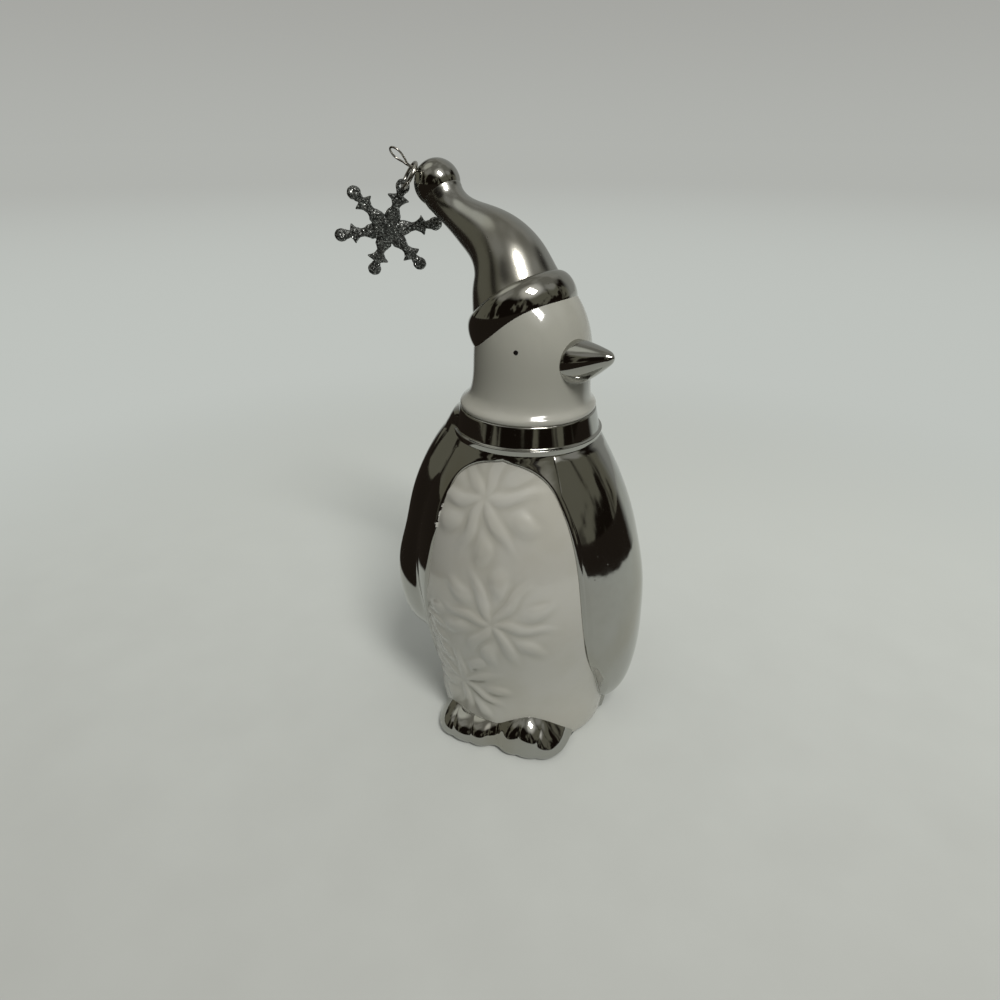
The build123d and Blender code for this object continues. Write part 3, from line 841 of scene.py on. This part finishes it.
def twisted_eye():
    """One wire that runs up a strand of the twist, round the loop and down the other strand.

    A strand is a helix whose turning dies out at the top, so that it leaves straight into the loop. The loop
    is two tangents to an arc, bent down a little at its foot."""
    loop_aside = behind * np.cos(np.radians(loop_turn)) + plumb * np.sin(np.radians(loop_turn))
    square = np.cross(eye_out, loop_aside)
    strand, turns, foot_bend = (twist_width - eye_wire) / 2, 1.6, np.radians(12)
    t = np.linspace(0, 1, 70)
    phase = (2 * np.pi * turns * (1 - t) ** 1.6)[:, None]
    run = (bobble_radius - twist_set_in + (twist_set_in + twist_length) * t)[:, None]

    def helix(side):
        off_middle = np.cos(phase) * loop_aside + np.sin(phase) * square
        return bobble_middle + eye_out * run + side * strand * off_middle

    arc_radius = (loop_width - eye_wire) / 2
    arc_middle = loop_length - eye_wire / 2 - arc_radius
    tangent_at, foot_run, foot_spread = 112, 0.5, 0.12
    swing = np.radians(np.linspace(tangent_at, -tangent_at, 60))
    arc = [(arc_middle + arc_radius * np.cos(a), arc_radius * np.sin(a)) for a in swing]
    foot = strand + foot_spread
    corners = [(0.0, strand), (foot_run, foot), *arc, (foot_run, -foot), (0.0, -strand)]
    out, aside = smooth_line(np.array(corners), 120)
    bent = foot_bend * step(0, 1.5, out)[:, None]
    ahead = np.cos(bent) * eye_out - np.sin(bent) * plumb
    loop_start = bobble_middle + eye_out * (bobble_radius + twist_length)
    loop = loop_start + ahead * out[:, None] + loop_aside * aside[:, None]
    path = np.vstack([helix(1)[:-1], loop, helix(-1)[::-1][1:]])
    return tube(path, eye_wire / 2, 14, square)


piece("twisted_wire_eye", [twisted_eye()], wire, "wire_eye", "figurine")

hang = plumb * np.cos(np.radians(charm_lean)) + behind * np.sin(np.radians(charm_lean))
ring_radius = (ring_outer - ring_wire) / 2
ring_pivot = bobble_middle + eye_out * (bobble_radius + ring_place)
ring_middle = ring_pivot + hang * (ring_radius - (twist_width + ring_wire) / 2 - link_clearance)
ring_side = np.cross(eye_out, hang)


def jump_ring():
    """Round wire bent into a ring, cut once; its two ends stand a hair apart and are eased at their rims."""
    count, half_cut, eased_by, eased_over = 150, 0.022, 0.08, 0.05
    a = np.pi / 2 + np.linspace(half_cut, 2 * np.pi - half_cut, count)
    path = ring_middle + ring_radius * (np.cos(a)[:, None] * hang + np.sin(a)[:, None] * ring_side)
    from_end = np.minimum(np.arange(count), np.arange(count)[::-1]) * ring_radius * 2 * np.pi / count
    eased = ring_wire / 2 - eased_by * np.exp(-from_end / eased_over)
    return tube(path, eased, 28, eye_out)


piece("open_jump_ring", [jump_ring()], ring_metal, "jump_ring", "ring")

charm_pivot = ring_middle + hang * ring_radius
charm_down = hang * np.cos(np.radians(charm_turn)) - eye_out * np.sin(np.radians(charm_turn))
charm_middle = charm_pivot + charm_down * charm_radius
charm_up, charm_side = -charm_down, np.cross(ring_side, -charm_down)
# each row: distance from the middle, half width, half thickness of an arm
arm_shares = np.array([
    (0.000, 0.175, 0.085), (0.160, 0.160, 0.085), (0.300, 0.165, 0.075), (0.400, 0.145, 0.068),
    (0.480, 0.100, 0.066), (0.560, 0.085, 0.066), (0.640, 0.120, 0.066), (0.705, 0.185, 0.060),
    (0.745, 0.215, 0.055), (0.768, 0.150, 0.060), (0.790, 0.090, 0.066), (0.840, 0.080, 0.066),
    (0.900, 0.100, 0.075)])


def charm_place(along, aside, out):
    """Points of the charm's own plane, in the figure's frame."""
    along, aside, out = (each[..., None] for each in np.broadcast_arrays(along, aside, out))
    return charm_middle + along * charm_up + aside * charm_side + out * ring_side


def crust(u, v, seed):
    """The unevenness of glitter under lacquer: a few sines of different pitch."""
    slow = np.sin(3.1 * u + 2.3 * v + seed)
    return (slow + np.sin(5.3 * u - 4.1 * v + 2 * seed) + np.sin(7.9 * v + 1.7 * seed)) / 3


def charm_arm(k):
    """One arm: sections (w cos^p, h sin^q) along a ray, rounded diamonds that the crust roughens."""
    crusted, power_across, power_out = 0.07, 0.85, 0.75
    share = np.linspace(0, 0.9, 90)
    wide, thick = (part[:, None] for part in smooth_curve(arm_shares, share) * charm_radius)
    u = full_turn(40)[None, :]
    c, s = np.cos(u), np.sin(u)
    along = share[:, None] * charm_radius
    rough = 1 + crusted * crust(along, 2 * c, k)
    aside = wide * np.sign(c) * np.abs(c) ** power_across * rough
    out = thick * np.sign(s) * np.abs(s) ** power_out * rough
    a = np.radians(60 * k)
    up, across = along * np.cos(a) - aside * np.sin(a), along * np.sin(a) + aside * np.cos(a)
    return grid_faces(charm_place(up, across, out))


def charm_ball(k):
    """The ball at an arm's end, flattened from front to back."""
    ball_radius, flatness = 1.75, 0.74
    polar = np.linspace(0.01, np.pi - 0.01, 28)[:, None]
    u = full_turn(36)[None, :]
    r = ball_radius * (1 + 0.03 * crust(3 * polar, 3 * u / np.pi, k + 9))
    a = np.radians(60 * k)
    along = charm_radius * np.cos(a) + r * np.sin(polar) * np.cos(u)
    aside = charm_radius * np.sin(a) + r * np.sin(polar) * np.sin(u)
    return grid_faces(charm_place(along, aside, flatness * r * np.cos(polar)))


def charm_eyelet():
    """The bored end ball: an elliptical section carried round the bore."""
    bore_middle, half_across, half_thick = 1.31, 0.44, 1.1
    v = full_turn(30)[:, None]
    u = full_turn(48)[None, :]
    r = bore_middle + half_across * np.cos(v) * (1 + 0.05 * crust(u, v, 4))
    eyelet = charm_place(charm_radius + r * np.cos(u), r * np.sin(u), half_thick * np.sin(v))
    return grid_faces(eyelet, wrap_rows=True)


def charm_hub():
    """The thick middle: a disc whose rim is pulled out a little towards each arm."""
    hub_share, hub_thickness = 0.29, 0.085
    polar = np.linspace(0.01, np.pi - 0.01, 40)[:, None]
    u = full_turn(96)[None, :]
    rim = charm_radius * (hub_share + 0.02 * np.cos(6 * u))
    r = rim * np.sin(polar) ** 0.8 * (1 + 0.03 * crust(4 * polar, 9 * u / np.pi, 2))
    out = hub_thickness * charm_radius * np.sign(np.cos(polar)) * np.abs(np.cos(polar)) ** 0.8
    return grid_faces(charm_place(r * np.cos(u), r * np.sin(u), out))


snowflake = [charm_hub(), charm_eyelet(), *map(charm_arm, range(6)), *map(charm_ball, range(1, 6))]
piece("glitter_snowflake", snowflake, glitter, "snowflake_charm", "charm")


# Floor, light and camera

# paper tones for painted shade: darker towards the front, paler towards the back
paper_shaded_front, paper_lit_back = (0.475, 0.485, 0.465), (0.68, 0.71, 0.685)
backdrop_low, backdrop_level, backdrop_high = (0.520, 0.545, 0.515), (0.435, 0.445, 0.420), (0.36, 0.36, 0.34)
past_paper, dark_wall, pale_wall = (0.022, 0.017, 0.013), (0.010, 0.007, 0.005), (0.160, 0.155, 0.120)
dim_roof, pale_roof, wall_behind = (0.22, 0.215, 0.19), (0.34, 0.335, 0.31), (0.33, 0.335, 0.315)
lamp_glow, skylight_glow = (0.95, 0.93, 0.88), (0.92, 0.93, 0.85)


def paper_finish():
    """Near the figure the floor is lit paper that keeps the shadow, its tone painted darker in front and paler
    behind as painted shade; far off it shows the backdrop's colour.

    Mirrors see the paper only out to its edge in front, and the dim room beyond it."""
    f = new_finish("paper_floor")
    where = f.place()
    x, y = f.part(where, 0), f.part(where, 1)
    far = f.vector("LENGTH", {0: where}, out="Value")
    mottle = f.noise(40, 3.0) * 0.06
    # painted shade: the paper's tone runs from darker in front to paler behind
    paper = f.blend((y * 0.94 - x * 0.2 + mottle).between(-0.16, 0.16), paper_shaded_front, paper_lit_back)
    lit = f.node("ShaderNodeBsdfDiffuse", None, {0: paper})
    distant = f.blend(far.between(0.35, 2.2), backdrop_low, backdrop_level)
    plain = f.node("ShaderNodeEmission", None, {0: distant, 1: 1.0})
    seen = f.node("ShaderNodeMixShader", None, {0: far.between(0.15, 0.36), 1: lit, 2: plain})
    behind_it = (y / far).between(0.62, 0.80)
    paper_radius = ((x - 0.06) ** 2.0 + (y + 0.04) ** 2.0) ** 0.5 + f.noise(9, 2.0) * 0.04
    beyond = paper_radius.between(0.205, 0.215) * (1 - behind_it) * (1 - f.ray("Is Camera Ray"))
    dim = f.node("ShaderNodeEmission", None, {0: colour(*past_paper), 1: 1.0})
    all_round = f.node("ShaderNodeMixShader", None, {0: beyond, 1: seen, 2: dim})
    f.node("ShaderNodeOutputMaterial", None, {0: all_round})
    return f.owner


def floor():
    """A wide flat disc in three rings, in metres."""
    ring = np.array([0.0, 0.2, 0.6, 6.0])[:, None]
    u = full_turn(96)[None, :]
    points, faces = grid_faces(together(ring * np.cos(u), ring * np.sin(u), 0.0), fans=False)
    mesh = bpy.data.meshes.new("paper_floor")
    mesh.from_pydata(points, [], faces)
    mesh.materials.append(paper_finish())
    placed("paper_floor", mesh)


lamp_heading, lamp_slope, lamp_distance = 41, 51, 1100
lamp_width, lamp_height, lamp_lean, lamp_power, lamp_tint = 220, 380, 42, 7.0, (1.0, 0.985, 0.95)
skylight_heading, skylight_slope = -92, 57


def room():
    """The world: a pale backdrop for the camera, an even ceiling for the light on dull things, and for
    mirrors a room with dim walls, a paler roof, a pale wall behind and glows round the lamp and the skylight."""
    bpy.context.scene.world = bpy.data.worlds.new("room")
    f = Finish(bpy.context.scene.world)
    way = f.node("ShaderNodeTexCoord", out="Generated")
    x, y, z = (f.part(way, k) for k in range(3))
    tall = f.node("ShaderNodeMapping", None, {0: way, 3: (1.6, 1.6, 0.7)})
    cloud = f.node("ShaderNodeTexNoise", None, {"Vector": tall, "Scale": 1.5, "Detail": 2.0})
    detail = f.node("ShaderNodeTexNoise", None, {"Vector": tall, "Scale": 5.0, "Detail": 2.0})
    walls = f.blend((cloud + detail * 0.3 + x ** 2.0 * 0.10).between(0.675, 0.76), dark_wall, pale_wall)
    roof = f.blend(cloud.between(0.42, 0.62), dim_roof, pale_roof)
    mirrored = f.blend((z + cloud * 0.34).between(0.70, 0.86), walls, roof)
    mirrored = f.blend(y.between(0.55, 0.82), mirrored, wall_behind)
    # each row: heading, slope, how nearly a ray must point there for the glow to begin, strength, colour
    glows = [(lamp_heading, lamp_slope, 0.90, 0.85, lamp_glow),
             (skylight_heading, skylight_slope, 0.945, 0.6, skylight_glow)]
    for heading, slope, edge, strength, glow in glows:
        source = tuple(way_to(heading, slope))
        towards = f.vector("DOT_PRODUCT", {0: way, 1: source}, out="Value")
        mirrored = f.blend(towards.between(edge, 0.99) * strength, mirrored, glow)
    ceiling = f.blend(z.between(0.1, 0.7), (0.10, 0.10, 0.09), (0.47, 0.47, 0.45))
    fill = f.blend(f.ray("Is Diffuse Ray"), mirrored, ceiling)
    backdrop = f.blend(z.between(-0.05, 0.20), backdrop_level, backdrop_high)
    seen = f.blend(f.ray("Is Camera Ray"), fill, backdrop)
    f.node("ShaderNodeOutputWorld", None, {0: f.node("ShaderNodeBackground", None, {0: seen, 1: 1.0})})


def look_from(made, place, target):
    """Turns a lamp or camera so that its -Z axis points at the target."""
    back = unit(place - target)
    right = unit(np.cross(upright, back))
    up = np.cross(back, right)
    turn = np.eye(4)
    turn[:3, 0], turn[:3, 1], turn[:3, 2], turn[:3, 3] = right, up, back, place * MM
    made.matrix_world = Matrix(turn.tolist())


def window_lamp():
    """A soft rectangular lamp that looks at the middle of the figure, its top leaning to the left."""
    data = bpy.data.lights.new("window_lamp", "AREA")
    data.shape, data.size, data.size_y = "RECTANGLE", lamp_width * MM, lamp_height * MM
    data.energy, data.color = lamp_power, lamp_tint
    made = placed("window_lamp", data)
    figure_middle = 70.0 * upright
    look_from(made, figure_middle + lamp_distance * way_to(lamp_heading, lamp_slope), figure_middle)
    made.matrix_world = made.matrix_world @ Matrix.Rotation(np.radians(lamp_lean), 4, "Z")


floor()
room()
window_lamp()

camera = placed("camera", bpy.data.cameras.new("camera"))
camera.data.sensor_width, camera.data.lens = 36.0, 27.04
camera.data.clip_start, camera.data.clip_end = 0.005, 50.0
camera_place = np.array([55.2, -172.4, 158.7])
camera_way = np.array([-0.3047, 0.8373, -0.4540])
look_from(camera, camera_place, camera_place + camera_way * 100)
bpy.context.scene.camera = camera
bpy.context.scene.view_settings.view_transform = "Standard"
